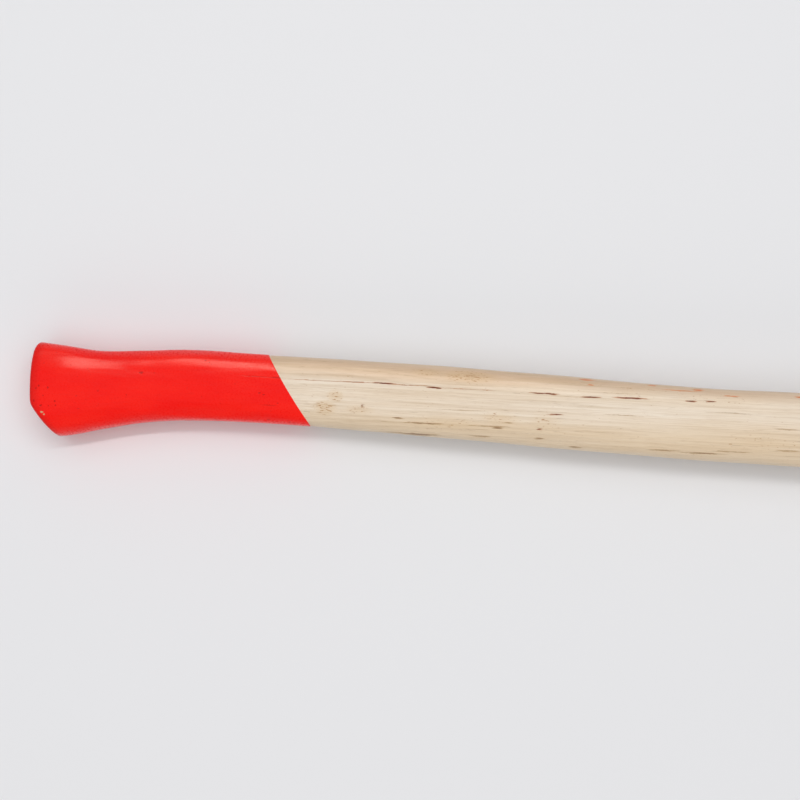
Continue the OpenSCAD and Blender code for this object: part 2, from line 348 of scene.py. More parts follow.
class Shader:
    """Builds one material; each call adds a node and returns an output socket."""

    def __init__(self, name):
        self.material = bpy.data.materials.new(name)
        self.material.use_nodes = True
        self.tree = self.material.node_tree
        self.tree.nodes.clear()

    def node(self, kind, sockets, out=0, **settings):
        """New node; the output socket asked for, or the node itself where it has no output."""
        made = self.tree.nodes.new(kind)
        for key, value in settings.items():
            setattr(made, key, value)
        for key, value in sockets.items():
            if isinstance(value, bpy.types.NodeSocket):
                self.tree.links.new(value, made.inputs[key])
            else:
                made.inputs[key].default_value = value
        return made.outputs[out] if made.outputs else made

    def math(self, operation, *values):
        return self.node("ShaderNodeMath", dict(enumerate(values)), operation=operation)

    def place(self):
        """The maul's own millimetres, kept on the mesh."""
        return self.node("ShaderNodeAttribute", {}, "Vector", attribute_name="maul_mm")

    def split(self, vector):
        made = self.node("ShaderNodeSeparateXYZ", {0: vector}).node
        return made.outputs[0], made.outputs[1], made.outputs[2]

    def join(self, x, y, z):
        return self.node("ShaderNodeCombineXYZ", {0: x, 1: y, 2: z})

    def scaled(self, vector, factors):
        return self.node("ShaderNodeVectorMath", {0: vector, 1: factors}, operation="MULTIPLY")

    def noise(self, vector, scale, detail=2.0, roughness=0.5):
        sockets = {"Vector": vector, "Scale": scale, "Detail": detail, "Roughness": roughness}
        return self.node("ShaderNodeTexNoise", sockets, "Fac")

    def step(self, value, low, high, bottom=0.0, top=1.0):
        """Smooth step from bottom at low to top at high."""
        sockets = {0: value, 1: low, 2: high, 3: bottom, 4: top}
        return self.node("ShaderNodeMapRange", sockets, interpolation_type="SMOOTHSTEP")

    def mix(self, share, a, b):
        """Colour between a and b; either may be a socket or three numbers."""
        made = self.tree.nodes.new("ShaderNodeMix")
        made.data_type = "RGBA"
        for index, value in ((0, share), (6, a), (7, b)):
            if isinstance(value, bpy.types.NodeSocket):
                self.tree.links.new(value, made.inputs[index])
            elif index == 0:
                made.inputs[index].default_value = value
            else:
                made.inputs[index].default_value = (*value, 1)
        return made.outputs[2]

    def bump(self, height, distance, strength=1.0):
        """height is in millimetres when distance is MM."""
        sockets = {"Height": height, "Distance": distance, "Strength": strength}
        return self.node("ShaderNodeBump", sockets)

    def surface(self, **sockets):
        """Principled surface as the material's output; a name's underscores stand for spaces."""
        named = {key.replace("_", " "): value for key, value in sockets.items()}
        for key, value in named.items():
            if isinstance(value, tuple):
                named[key] = (*value, 1)
        shader = self.node("ShaderNodeBsdfPrincipled", named)
        self.node("ShaderNodeOutputMaterial", {"Surface": shader})
        return self.material


def spots_group():
    """Node group: an elongated spot, 1 at its middle and 0 outside, in the (u, v) plane."""
    tree = bpy.data.node_groups.new("spot", "ShaderNodeTree")
    for name in ("u", "v", "middle u", "middle v", "half length", "half width"):
        tree.interface.new_socket(name, in_out="INPUT", socket_type="NodeSocketFloat")
    tree.interface.new_socket("spot", in_out="OUTPUT", socket_type="NodeSocketFloat")
    start = tree.nodes.new("NodeGroupInput")
    end = tree.nodes.new("NodeGroupOutput")

    def math_node(operation, a, b):
        made = tree.nodes.new("ShaderNodeMath")
        made.operation = operation
        for socket, value in zip(made.inputs, (a, b)):
            if isinstance(value, bpy.types.NodeSocket):
                tree.links.new(value, socket)
            else:
                socket.default_value = value
        return made.outputs[0]

    def squared_share(place, middle, half):
        share = math_node("DIVIDE", math_node("SUBTRACT", place, middle), half)
        return math_node("MULTIPLY", share, share)

    s = start.outputs
    out = math_node("ADD", squared_share(s[0], s[2], s[4]), squared_share(s[1], s[3], s[5]))
    tree.links.new(math_node("MAXIMUM", math_node("SUBTRACT", 1.0, out), 0.0), end.inputs[0])
    return tree


SPOT = spots_group()


def spots(shader, u, v, rows):
    """Deepest of several spots, in rows of (distance from the butt, place across, half length,
    half width, depth)."""
    deepest = None
    for s, across, half_length, half_width, depth in rows:
        made = shader.tree.nodes.new("ShaderNodeGroup")
        made.node_tree = SPOT
        shader.tree.links.new(u, made.inputs[0])
        shader.tree.links.new(v, made.inputs[1])
        for index, value in enumerate((s, across, half_length, half_width), 2):
            made.inputs[index].default_value = value
        spot = shader.math("MULTIPLY", made.outputs[0], depth)
        deepest = spot if deepest is None else shader.math("MAXIMUM", deepest, spot)
    return deepest


# ---------------------------------------------------------------- hickory

# The grain runs straight from the eye to the grip, and the handle curves across it
GRAIN_SLOPE = 0.05

# Marks on the upper broad face: distance from the butt, place across the grain, half length,
# half width, depth of colour
DARK_STREAKS = [
    (147, -1.15, 24, 0.30, 0.50),
    (160, -1.0, 12, 0.32, 0.62),
    (174, -0.95, 6.5, 0.50, 1.0),
    (187, -1.3, 12, 0.24, 0.55),
    (199, -1.9, 3.6, 0.62, 1.0),
    (201.5, -2.2, 1.6, 0.55, 0.9),
    (217, -1.9, 18, 0.22, 0.45),
    (253, -2.2, 7.5, 0.42, 0.9),
    (257, -2.35, 2.4, 0.6, 0.9),
    (276.5, -2.9, 4.6, 0.6, 1.0),
    (296, -2.5, 9, 0.5, 0.9),
    (299, -2.4, 3, 0.7, 0.95),
    (325.5, -2.5, 3.0, 0.65, 0.9),
    (335, -2.1, 2.6, 0.6, 0.9),
    (258.5, -12.4, 3.4, 0.5, 0.85),
    (164.5, -12.6, 0.4, 1.0, 0.62),
    (251, -19.9, 1.2, 0.6, 0.75),
]
BROWN_STREAKS = [
    (182, -17.7, 2.4, 0.5, 0.9),
    (193, -19.6, 12, 0.34, 0.7),
    (198, -19.75, 6, 0.32, 0.9),
    (190, -24.7, 15, 0.55, 0.9),
    (176, -24.3, 16, 0.4, 0.5),
    (227, -19.6, 12, 0.3, 0.6),
    (231, -20.2, 3.2, 0.55, 0.95),
    (236, -17.5, 3, 0.35, 0.6),
    (223, -24.4, 6, 0.4, 0.6),
    (251, -24.2, 3, 0.5, 0.7),
    (269, -27.3, 4.5, 0.5, 0.6),
    (331, -27.5, 13, 0.4, 0.75),
    (312, -27.0, 9, 0.35, 0.6),
    (345, -26.2, 12, 0.32, 0.6),
    (214, -12.5, 14, 0.28, 0.4),
    (292, -11.2, 12, 0.28, 0.45),
    (345, -7.5, 16, 0.3, 0.4),
    (372, -14.3, 8, 0.4, 0.5),
    (372, -24.5, 7, 0.5, 0.55),
]
ORANGE_STREAKS = [
    (275, 6.7, 5, 1.1, 0.8),
    (276, 3.4, 2, 0.6, 0.5),
    (307.5, 5.2, 3.4, 0.6, 0.7),
    (321, 2.9, 12, 0.4, 0.4),
    (330, 3.8, 3.4, 0.7, 0.6),
    (346, 1.2, 5, 0.4, 0.5),
    (381, 2.4, 4.5, 0.7, 0.6),
]
# Patches crowded with short ticks, in the same terms
TICK_PATCHES = [
    (146, -14.0, 7, 4.5, 1.0),
    (151, -8.5, 5, 4.0, 0.9),
    (163, -14.5, 9, 3.0, 0.6),
    (217, 4.6, 17, 4.0, 1.0),
    (196, 5.5, 10, 3.0, 0.7),
    (232, -15.8, 12, 4.0, 0.7),
    (205, -19.0, 24, 4.0, 0.55),
    (254, -16.0, 10, 6.0, 0.5),
    (340, -1.0, 26, 4.0, 0.45),
    (300, 1.0, 20, 4.0, 0.4),
    (360, -20.0, 22, 5.0, 0.4),
]


# The dark streaks run longer and thinner than their rows; marks shorter than this are dots
STREAK_LONGER, STREAK_THINNER = 1.12, 0.8
SHORTEST_STREAK = 2


def drawn_out(rows):
    """The same rows with every streak, but no dot, drawn out along the grain."""
    drawn = []
    for s, across, half_length, half_width, depth in rows:
        if half_length >= SHORTEST_STREAK:
            half_length *= STREAK_LONGER
            half_width *= STREAK_THINNER
        drawn.append((s, across, half_length, half_width, depth))
    return drawn


def hickory_material():
    """Pale hickory under clear lacquer; grain and pores run along the plank the handle was cut from."""
    s = Shader("hickory")
    x, y, z = s.split(s.place())
    along = s.math("SUBTRACT", x, BUTT_X)
    across = s.math("MULTIPLY_ADD", x, GRAIN_SLOPE, y)
    plank = s.join(along, across, z)

    # Growth rings, met edge-on by the broad faces, wandering slowly along the grain
    wander = s.noise(s.scaled(plank, (0.004, 0.03, 0.03)), 1.0, 2.0, 0.45)
    tilt = s.math("MULTIPLY_ADD", z, 0.35, across)
    ring = s.math("MULTIPLY_ADD", wander, 26.0, tilt)
    ring = s.math("FRACT", s.math("DIVIDE", ring, 3.1))
    early = s.math("SUBTRACT", 1.0, s.step(ring, 0.0, 0.30))
    late = s.step(ring, 0.72, 1.0)
    ring_patch = s.step(s.noise(s.scaled(plank, (0.012, 0.05, 0.05)), 1.0, 2.0), 0.38, 0.68)
    ring_line = s.math("MULTIPLY", s.math("MAXIMUM", early, s.math("MULTIPLY", late, 0.5)), ring_patch)

    # Fibres: fine streaks, and pores as short dark dashes
    fibre = s.noise(s.scaled(plank, (0.02, 2.2, 2.2)), 1.0, 4.0, 0.62)
    fine = s.noise(s.scaled(plank, (0.09, 7.0, 7.0)), 1.0, 2.0, 0.6)
    band = s.noise(s.scaled(plank, (0.009, 0.75, 0.75)), 1.0, 3.0, 0.55)
    pore = s.step(s.noise(s.scaled(plank, (0.16, 3.6, 3.6)), 1.0, 1.5, 0.5), 0.62, 0.72)
    pore = s.math("MULTIPLY", pore, s.math("MULTIPLY_ADD", ring_line, 0.8, 0.25))

    # Tone: pale in the middle, tan towards the poll's side, yellower towards the bit's side
    cloud = s.noise(s.scaled(plank, (0.006, 0.09, 0.09)), 1.0, 3.0, 0.55)
    tone = s.mix(s.step(cloud, 0.30, 0.72), (0.81, 0.67, 0.515), (0.875, 0.77, 0.64))
    drift = s.math("MULTIPLY_ADD", s.noise(s.scaled(plank, (0.01, 0.1, 0.1)), 1.0, 2.0), 8.0, across)
    tone = s.mix(s.step(drift, 0.5, 9.5, 0.0, 0.84), tone, (0.66, 0.455, 0.29))
    tone = s.mix(s.step(drift, -6.0, -18.0, 0.0, 0.60), tone, (0.73, 0.555, 0.355))
    tone = s.mix(s.step(band, 0.50, 0.72, 0.0, 0.24), tone, (0.58, 0.41, 0.235))
    tone = s.mix(s.step(band, 0.30, 0.46, 0.20, 0.0), tone, (0.87, 0.77, 0.64))
    tone = s.mix(s.step(fibre, 0.42, 0.72, 0.0, 0.36), tone, (0.56, 0.39, 0.225))
    tone = s.mix(s.math("MULTIPLY", ring_line, 0.30), tone, (0.52, 0.36, 0.205))
    tone = s.mix(s.step(fine, 0.45, 0.8, 0.0, 0.24), tone, (0.50, 0.34, 0.20))
    tone = s.mix(s.math("MULTIPLY", pore, 0.65), tone, (0.30, 0.165, 0.08))

    # Marks on the upper face, their outlines frayed along the fibres
    fray = s.noise(s.scaled(plank, (0.25, 1.8, 1.8)), 1.0, 3.0, 0.65)
    frayed_u = s.math("MULTIPLY_ADD", s.math("SUBTRACT", fibre, 0.5), 9.0, along)
    frayed_v = s.math("MULTIPLY_ADD", s.math("SUBTRACT", fray, 0.5), 1.1, across)
    on_top = s.step(z, 0.0, 4.0)
    dark = s.math("MULTIPLY", spots(s, frayed_u, frayed_v, drawn_out(DARK_STREAKS)), on_top)
    brown = s.math("MULTIPLY", spots(s, frayed_u, frayed_v, BROWN_STREAKS), on_top)
    orange = s.math("MULTIPLY", spots(s, frayed_u, frayed_v, ORANGE_STREAKS), s.step(z, 4.0, 7.5))
    patches = s.math("MULTIPLY", spots(s, along, across, TICK_PATCHES), on_top)
    tone = s.mix(s.step(patches, 0.0, 1.0, 0.0, 0.32), tone, (0.66, 0.44, 0.21))
    tick = s.noise(s.scaled(plank, (0.42, 2.0, 2.0)), 1.0, 2.0, 0.6)
    tick_share = s.math("ADD", tick, s.math("MULTIPLY", ring_line, 0.02))
    tick_share = s.math("MULTIPLY_ADD", patches, 0.17, tick_share)
    tick_share = s.step(tick_share, 0.70, 0.78)
    stray = s.noise(s.scaled(plank, (0.045, 1.3, 1.3)), 1.0, 2.0, 0.55)
    stray = s.step(stray, 0.69, 0.79)
    tone = s.mix(s.math("MULTIPLY", stray, 0.45), tone, (0.40, 0.22, 0.11))
    tone = s.mix(s.math("MULTIPLY", tick_share, 0.85), tone, (0.42, 0.19, 0.06))
    tone = s.mix(s.step(orange, 0.0, 0.5, 0.0, 0.86), tone, (0.68, 0.19, 0.05))
    tone = s.mix(s.step(brown, 0.0, 0.45, 0.0, 0.62), tone, (0.38, 0.22, 0.09))
    tone = s.mix(s.step(brown, 0.4, 0.8, 0.0, 0.60), tone, (0.20, 0.10, 0.04))
    tone = s.mix(s.step(dark, 0.0, 0.34, 0.0, 0.68), tone, (0.50, 0.18, 0.055))
    tone = s.mix(s.step(dark, 0.36, 0.80, 0.0, 0.93), tone, (0.15, 0.026, 0.009))

    # End grain on the top end: rings seen head-on, darker
    end = s.step(x, TOP_X - END_BREAK - 0.2, TOP_X - END_BREAK + 0.4)
    specks = s.noise(s.scaled(plank, (0.3, 2.6, 2.6)), 1.0, 3.0, 0.7)
    end_tone = s.mix(s.step(specks, 0.35, 0.7), (0.50, 0.33, 0.18), (0.33, 0.20, 0.105))
    end_tone = s.mix(s.math("MULTIPLY", early, 0.6), end_tone, (0.20, 0.115, 0.06))
    tone = s.mix(end, tone, end_tone)

    height = s.math("MULTIPLY_ADD", fibre, 0.022, s.math("MULTIPLY", pore, -0.04))
    height = s.math("MULTIPLY_ADD", ring_line, -0.03, height)
    height = s.math("MULTIPLY_ADD", s.step(dark, 0.0, 0.5), -0.10, height)
    height = s.math("MULTIPLY_ADD", tick_share, -0.04, height)
    slow = s.noise(s.scaled(plank, (0.03, 0.14, 0.14)), 1.0, 2.0)
    height = s.math("MULTIPLY_ADD", slow, 0.8, height)
    rough = s.math("MULTIPLY_ADD", fibre, 0.22, 0.24)
    rough = s.math("ADD", rough, s.math("MULTIPLY", end, 0.3))
    return s.surface(
        Base_Color=tone,
        Roughness=rough,
        Normal=s.bump(height, MM),
        Specular_IOR_Level=0.26,
        Coat_Weight=0.05,
        Coat_Roughness=0.25,
    )


# ---------------------------------------------------------------- dipped coating

# Pits and specks in the dip on the upper face: distance from the butt, across, half sizes, depth
DIP_PITS = [
    (2.5, 20, 0.7, 0.9, 0.9),
    (3.5, 26, 0.5, 0.6, 0.8),
    (5.0, 27.4, 0.6, 0.6, 0.9),
    (9.5, 26.4, 0.6, 0.7, 1.0),
    (7.2, 22.4, 0.45, 0.5, 0.8),
    (13.0, 19.6, 0.6, 0.6, 0.9),
    (13.4, 17.6, 0.5, 0.5, 0.8),
    (9.8, 17.4, 0.5, 0.6, 0.8),
    (6.0, 17.6, 0.7, 0.5, 0.9),
    (20.4, 37.6, 0.4, 0.4, 0.5),
    (55.0, 34.0, 1.3, 0.8, 0.8),
    (48.0, 23.0, 0.5, 0.5, 0.5),
    (86.5, 40.2, 0.7, 0.4, 0.6),
    (88.5, 39.2, 0.5, 0.4, 0.7),
    (113.6, 23.8, 0.9, 0.4, 0.8),
    (115.6, 23.0, 0.7, 0.4, 0.8),
    (122.5, 18.8, 0.6, 0.4, 0.6),
]
# Ridges where the wood's dark lines run on under the dip, in place across the grain
DIP_LINES = [(125, -0.75, 9, 0.45, 1.0), (112, -0.6, 9, 0.35, 0.5), (118, -14.5, 6, 0.4, 0.5)]
# Chips down to the wood at the toe cut's rim
DIP_CHIPS = [(6.4, 14.4, 1.0, 0.45, 1.0), (7.4, 13.2, 0.5, 0.4, 0.9)]


def dip_material():
    """Glossy orange-red dip, thin enough for the grain's ridges to show."""
    s = Shader("grip_dip")
    x, y, z = s.split(s.place())
    along = s.math("SUBTRACT", x, BUTT_X)
    across = s.math("MULTIPLY_ADD", x, GRAIN_SLOPE, y)
    plank = s.join(along, across, z)
    on_top = s.step(z, 0.0, 3.0)
    cloud = s.noise(s.scaled(plank, (0.03, 0.08, 0.08)), 1.0, 3.0, 0.6)
    fibre = s.noise(s.scaled(plank, (0.03, 1.3, 1.3)), 1.0, 3.0, 0.6)
    mottle = s.noise(s.place(), 0.9, 3.0, 0.6)
    wobble = s.math("MULTIPLY", s.math("SUBTRACT", mottle, 0.5), 0.9)
    ragged_u, ragged_v = s.math("ADD", along, wobble), s.math("ADD", y, wobble)
    pits = s.math("MULTIPLY", spots(s, ragged_u, ragged_v, DIP_PITS), on_top)
    chips = s.math("MULTIPLY", spots(s, ragged_u, ragged_v, DIP_CHIPS), on_top)
    specks = s.step(s.noise(s.place(), 0.42, 2.0, 0.5), 0.70, 0.76)
    wavy_line = spots(s, along, s.math("ADD", across, wobble), DIP_LINES)
    grain_line = s.math("MULTIPLY", wavy_line, on_top)

    tone = s.mix(s.step(cloud, 0.35, 0.7), (0.93, 0.006, 0.003), (0.97, 0.012, 0.005))
    tone = s.mix(s.step(fibre, 0.45, 0.8, 0.0, 0.22), tone, (0.80, 0.012, 0.010))
    tone = s.mix(s.step(mottle, 0.55, 0.8, 0.0, 0.15), tone, (0.75, 0.012, 0.010))
    tone = s.mix(s.math("MULTIPLY", specks, 0.35), tone, (0.45, 0.010, 0.010))
    tone = s.mix(s.step(grain_line, 0.0, 0.7, 0.0, 0.55), tone, (0.50, 0.008, 0.006))
    # Painted shade: the butt's rounded rim is darkened where it turns away from the light
    rim = s.node("ShaderNodeAttribute", {}, "Fac", attribute_name="rim")
    tone = s.mix(s.math("MULTIPLY", rim, 0.45), tone, (0.42, 0.008, 0.006))
    tone = s.mix(s.step(pits, 0.0, 0.7, 0.0, 0.8), tone, (0.48, 0.004, 0.003))
    tone = s.mix(s.step(chips, 0.0, 0.3, 0.0, 0.9), tone, (0.62, 0.36, 0.20))

    height = s.math("MULTIPLY", fibre, 0.006)
    height = s.math("MULTIPLY_ADD", mottle, 0.003, height)
    height = s.math("MULTIPLY_ADD", s.step(pits, 0.0, 0.5), -0.06, height)
    height = s.math("MULTIPLY_ADD", s.step(grain_line, 0.0, 0.7), -0.12, height)
    slow = s.noise(s.scaled(plank, (0.035, 0.13, 0.13)), 1.0, 1.0, 0.4)
    height = s.math("MULTIPLY_ADD", slow, 0.8, height)
    ripple = s.noise(s.scaled(plank, (0.06, 0.42, 0.42)), 1.0, 1.0, 0.4)
    height = s.math("MULTIPLY_ADD", ripple, 0.10, height)
    rough = s.math("MULTIPLY_ADD", mottle, 0.12, 0.22)
    return s.surface(
        Base_Color=tone,
        Roughness=rough,
        Normal=s.bump(height, MM),
        Specular_IOR_Level=0.2,
    )


# ---------------------------------------------------------------- head

GROUND_BIT = 26
GROUND_POLL = 3.0


def head_material():
    """Orange-red enamel on forged steel; the bit and the poll's face are ground bare."""
    s = Shader("head_paint")
    place = s.place()
    x, y, z = s.split(place)
    scale_noise = s.noise(place, 0.25, 4.0, 0.62)
    grit = s.noise(place, 1.6, 3.0, 0.7)

    # Bare where ground: beyond an arc parallel to the edge, and on the poll's face
    dx = s.math("SUBTRACT", x, EDGE_X)
    dy = s.math("SUBTRACT", y, ARC_Y)
    squares = s.math("ADD", s.math("MULTIPLY", dx, dx), s.math("MULTIPLY", dy, dy))
    reach = s.math("SQRT", squares)
    ragged = s.math("MULTIPLY_ADD", s.math("SUBTRACT", scale_noise, 0.5), 4.0, reach)
    bit = s.step(ragged, EDGE_RADIUS - GROUND_BIT - 0.25, EDGE_RADIUS - GROUND_BIT + 0.25)
    face = s.math("MULTIPLY_ADD", s.math("SUBTRACT", scale_noise, 0.5), 1.6, y)
    poll = s.step(face, POLL_REACH - GROUND_POLL - 0.15, POLL_REACH - GROUND_POLL + 0.15)
    geometry = s.tree.nodes.new("ShaderNodeNewGeometry")
    edge = s.step(geometry.outputs["Pointiness"], 0.525, 0.60)
    worn = s.math("MULTIPLY", edge, s.step(s.noise(place, 0.35, 4.0, 0.7), 0.52, 0.60))
    chips = s.step(s.noise(place, 0.13, 5.0, 0.75), 0.705, 0.715)
    bare = s.math("MAXIMUM", s.math("MAXIMUM", bit, poll), s.math("MAXIMUM", worn, chips))

    # Grinding marks: along the bit's slope, and one way across the poll
    bit_lines = s.noise(s.scaled(place, (3.2, 0.10, 0.10)), 1.0, 3.0, 0.6)
    poll_lines = s.noise(s.scaled(place, (0.10, 0.10, 3.2)), 1.0, 3.0, 0.6)
    lines = s.node("ShaderNodeMix", {0: poll, 2: bit_lines, 3: poll_lines}, 0, data_type="FLOAT")

    enamel = s.mix(s.step(scale_noise, 0.3, 0.7), (0.70, 0.014, 0.009), (0.80, 0.022, 0.012))
    enamel = s.mix(s.step(grit, 0.62, 0.78, 0.0, 0.25), enamel, (0.34, 0.010, 0.010))
    steel = s.mix(s.step(lines, 0.3, 0.7), (0.40, 0.395, 0.385), (0.62, 0.615, 0.60))
    steel = s.mix(s.step(scale_noise, 0.55, 0.75, 0.0, 0.35), steel, (0.28, 0.25, 0.22))
    scale_tone = s.mix(grit, (0.10, 0.095, 0.09), (0.20, 0.185, 0.17))
    scaled_steel = s.mix(s.math("MAXIMUM", bit, poll), scale_tone, steel)
    tone = s.mix(bare, enamel, scaled_steel)

    height = s.math("MULTIPLY", scale_noise, 0.30)
    height = s.math("MULTIPLY_ADD", grit, 0.05, height)
    ground = s.math("MAXIMUM", bit, poll)
    height = s.math("MULTIPLY", height, s.math("MULTIPLY_ADD", ground, -0.85, 1.0))
    height = s.math("MULTIPLY_ADD", s.math("MULTIPLY", lines, ground), 0.03, height)
    height = s.math("MULTIPLY_ADD", bare, -0.12, height)
    rough_paint = s.math("MULTIPLY_ADD", grit, 0.12, 0.24)
    rough_steel = s.math("MULTIPLY_ADD", lines, 0.25, 0.24)
    rough = s.node("ShaderNodeMix", {0: bare, 2: rough_paint, 3: rough_steel}, 0, data_type="FLOAT")
    return s.surface(
        Base_Color=tone,
        Metallic=s.math("MULTIPLY", bare, 0.9),
        Roughness=rough,
        Normal=s.bump(height, MM),
    )


def wedge_wood_material():
    """Unfinished hardwood, seen at its end grain."""
    s = Shader("wedge_wood")
    place = s.node("ShaderNodeTexCoord", {}, "Object")
    lines = s.noise(s.scaled(place, (200, 420, 1500)), 1.0, 3.0, 0.6)
    specks = s.noise(s.scaled(place, (900, 2600, 2600)), 1.0, 2.0, 0.6)
    tone = s.mix(s.step(lines, 0.3, 0.7), (0.60, 0.40, 0.225), (0.42, 0.255, 0.13))
    tone = s.mix(s.step(specks, 0.55, 0.75, 0.0, 0.6), tone, (0.20, 0.11, 0.05))
    return s.surface(
        Base_Color=tone,
        Roughness=s.math("MULTIPLY_ADD", lines, 0.2, 0.5),
        Normal=s.bump(lines, MM, 0.3),
    )


def wedge_steel_material():
    """Plain steel wedge with hammer marks."""
    s = Shader("wedge_steel")
    place = s.place()
    dents = s.noise(place, 0.55, 2.0, 0.5)
    grit = s.noise(place, 3.0, 3.0, 0.7)
    tone = s.mix(s.step(grit, 0.35, 0.7), (0.36, 0.35, 0.34), (0.52, 0.51, 0.49))
    tone = s.mix(s.step(dents, 0.55, 0.75, 0.0, 0.45), tone, (0.26, 0.19, 0.14))
    height = s.math("MULTIPLY_ADD", grit, 0.03, s.math("MULTIPLY", dents, 0.25))
    return s.surface(
        Base_Color=tone,
        Metallic=0.95,
        Roughness=s.math("MULTIPLY_ADD", grit, 0.25, 0.32),
        Normal=s.bump(height, MM),
    )


# ---------------------------------------------------------------- handle and grip pieces

OVAL_N = 128


def oval(a, b, n=OVAL_N):
    """Corners of a superellipse with half axes a and b."""
    angle = 2 * np.pi * np.arange(n) / n
    c, s = np.cos(angle), np.sin(angle)
    power = 2 / OVAL_POWER
    return a * np.sign(c) * np.abs(c) ** power, b * np.sign(s) * np.abs(s) ** power


KNOB_MID = GRIP_SWEEP * GRIP_SHAPE[0][1]
# How gently the toe's cut begins
SOFT_KNEE = 1.0


def butt_cut(y):
    """Depth of the butt's cut: slightly crowned, with a slanted toe and a rounded heel."""
    off = (y - KNOB_MID) / (KNOB_W / 2)
    below = TOE_RISE - KNOB_W / 2 - (y - KNOB_MID)
    toe = (below + np.sqrt(below * below + SOFT_KNEE**2)) / 2 / TOE_RISE
    heel = np.maximum(y - KNOB_MID - KNOB_W / 2 + HEEL_RISE, 0) / HEEL_RISE
    return BUTT_CROWN * off**2 + TOE_CUT * (toe + TOE_BOW * toe * (toe - 1)) + HEEL_ROUND * heel**2


# How far from the butt, and from the dip line, the rings lean with them
BUTT_FADE = 45
DIP_FADE = 50
RING_ANGLE = 2 * np.pi * np.arange(OVAL_N) / OVAL_N
# Height of the shave's waves and of the broader lumps
SKIN_WAVE = 0.15
SKIN_LUMP = 0.36
# The CAD's rings are coarser; lying this far in keeps the rounder skin inside their corners
CHORD_GAP = 0.03


@functools.cache
def skin_wave(s):
    """Unevenness left by the shave and the sander: an inset or outset that differs round each ring."""
    c, d = np.cos(RING_ANGLE), np.sin(RING_ANGLE)
    wave = np.sin(s / 17 + 1.3 * c) + np.sin(s / 29 - 2 + 2.1 * d) + np.sin(s / 9 + 0.7 + 2 * c * d)
    lump = np.array([noise.noise((s / 38, 1.7 * y, 1.7 * z)) for y, z in zip(c, d)])
    inside = fade(s, 20, 55) * fade(-s, 25 - SEAT, 60 - SEAT)
    return inside * (SKIN_WAVE * wave / 3 + SKIN_LUMP * lump)


def skin_ring(s, inset, depth=0.0):
    """Ring of the handle's skin, set in from the side by inset and from the butt by depth. It leans
    with the butt's cut near the butt, and with the dip line near that."""
    at = np.full(OVAL_N, float(s))
    inward = inset + CHORD_GAP + skin_wave(float(s))
    for _ in range(5):
        shape = handle_curve(at)
        width, height = oval(shape[:, 1] / 2 - inward, shape[:, 2] / 2 - inward)
        y = shape[:, 0] + width
        at_final = at
        lean = max(0.0, 1 - s / BUTT_FADE) * (butt_cut(y) + depth)
        across = y - handle_curve(s)[0]
        sag = DIP_SAG * (1 - (across / (THROAT_W / 2)) ** 2)
        at = s + lean - max(0.0, 1 - abs(s - DIP_LENGTH) / DIP_FADE) * (DIP_SLANT * across + sag)
    return np.stack([BUTT_X + at_final, y, height], 1)


RIM = 1.6


def butt_rings(skin):
    """Rings from the middle of the butt out over its rounded rim; skin is how deep they lie."""
    most = KNOB_T * 0.42
    flat = [skin_ring(0, skin + inset, skin) for inset in np.linspace(most, RIM, 7)[:-1]]
    rim = [
        skin_ring(RIM * (1 - math.cos(a)), skin + RIM * (1 - math.sin(a)), skin)
        for a in np.linspace(0, math.pi / 2, 6)
    ]
    return flat + rim


def eye_ring(x, grow, n=OVAL_N):
    """Ring of the eye, or of the tenon in it, at height x and grown outwards by grow."""
    u = (x + CHIN_H) / (CROWN_H + CHIN_H)
    y, z = oval((EYE_L + EYE_FLARE_L * u) / 2 + grow, (EYE_T + EYE_FLARE_T * u) / 2 + grow, n)
    return np.stack([np.full(n, float(x)), y, z], 1)


def kerf_cutter(spare):
    """Tapered slab a little wider than the wooden wedge."""
    far = 45
    half_foot, half_top = KERF_W / 2 + spare, WOOD_WEDGE_T / 2 + spare
    over = 2
    rise = (WOOD_WEDGE_T - KERF_W) / 2 / KERF_DEPTH * over
    profile = [
        (TOP_X - KERF_DEPTH, -half_foot),
        (TOP_X - KERF_DEPTH, half_foot),
        (TOP_X + over, half_top + rise),
        (TOP_X + over, -half_top - rise),
    ]
    points = [(x, y, z) for y in (-far, far) for x, z in profile]
    faces = [(0, 1, 2, 3), (7, 6, 5, 4), (0, 4, 5, 1), (1, 5, 6, 2), (2, 6, 7, 3), (3, 7, 4, 0)]
    return add_mesh("kerf", points, faces)


def rounded_box_ring(x, y, half_t, half_w, radius, n=6):
    """Rounded rectangle across the maul at height x, its corners as arcs of n points."""
    ring = []
    for quarter in range(4):
        cy = (half_t - radius) * (1 if quarter in (0, 3) else -1)
        cz = (half_w - radius) * (1 if quarter in (0, 1) else -1)
        for k in range(n):
            a = math.pi / 2 * (quarter + k / (n - 1))
            ring.append((x, y + cy + radius * math.cos(a), cz + radius * math.sin(a)))
    return np.array(ring)


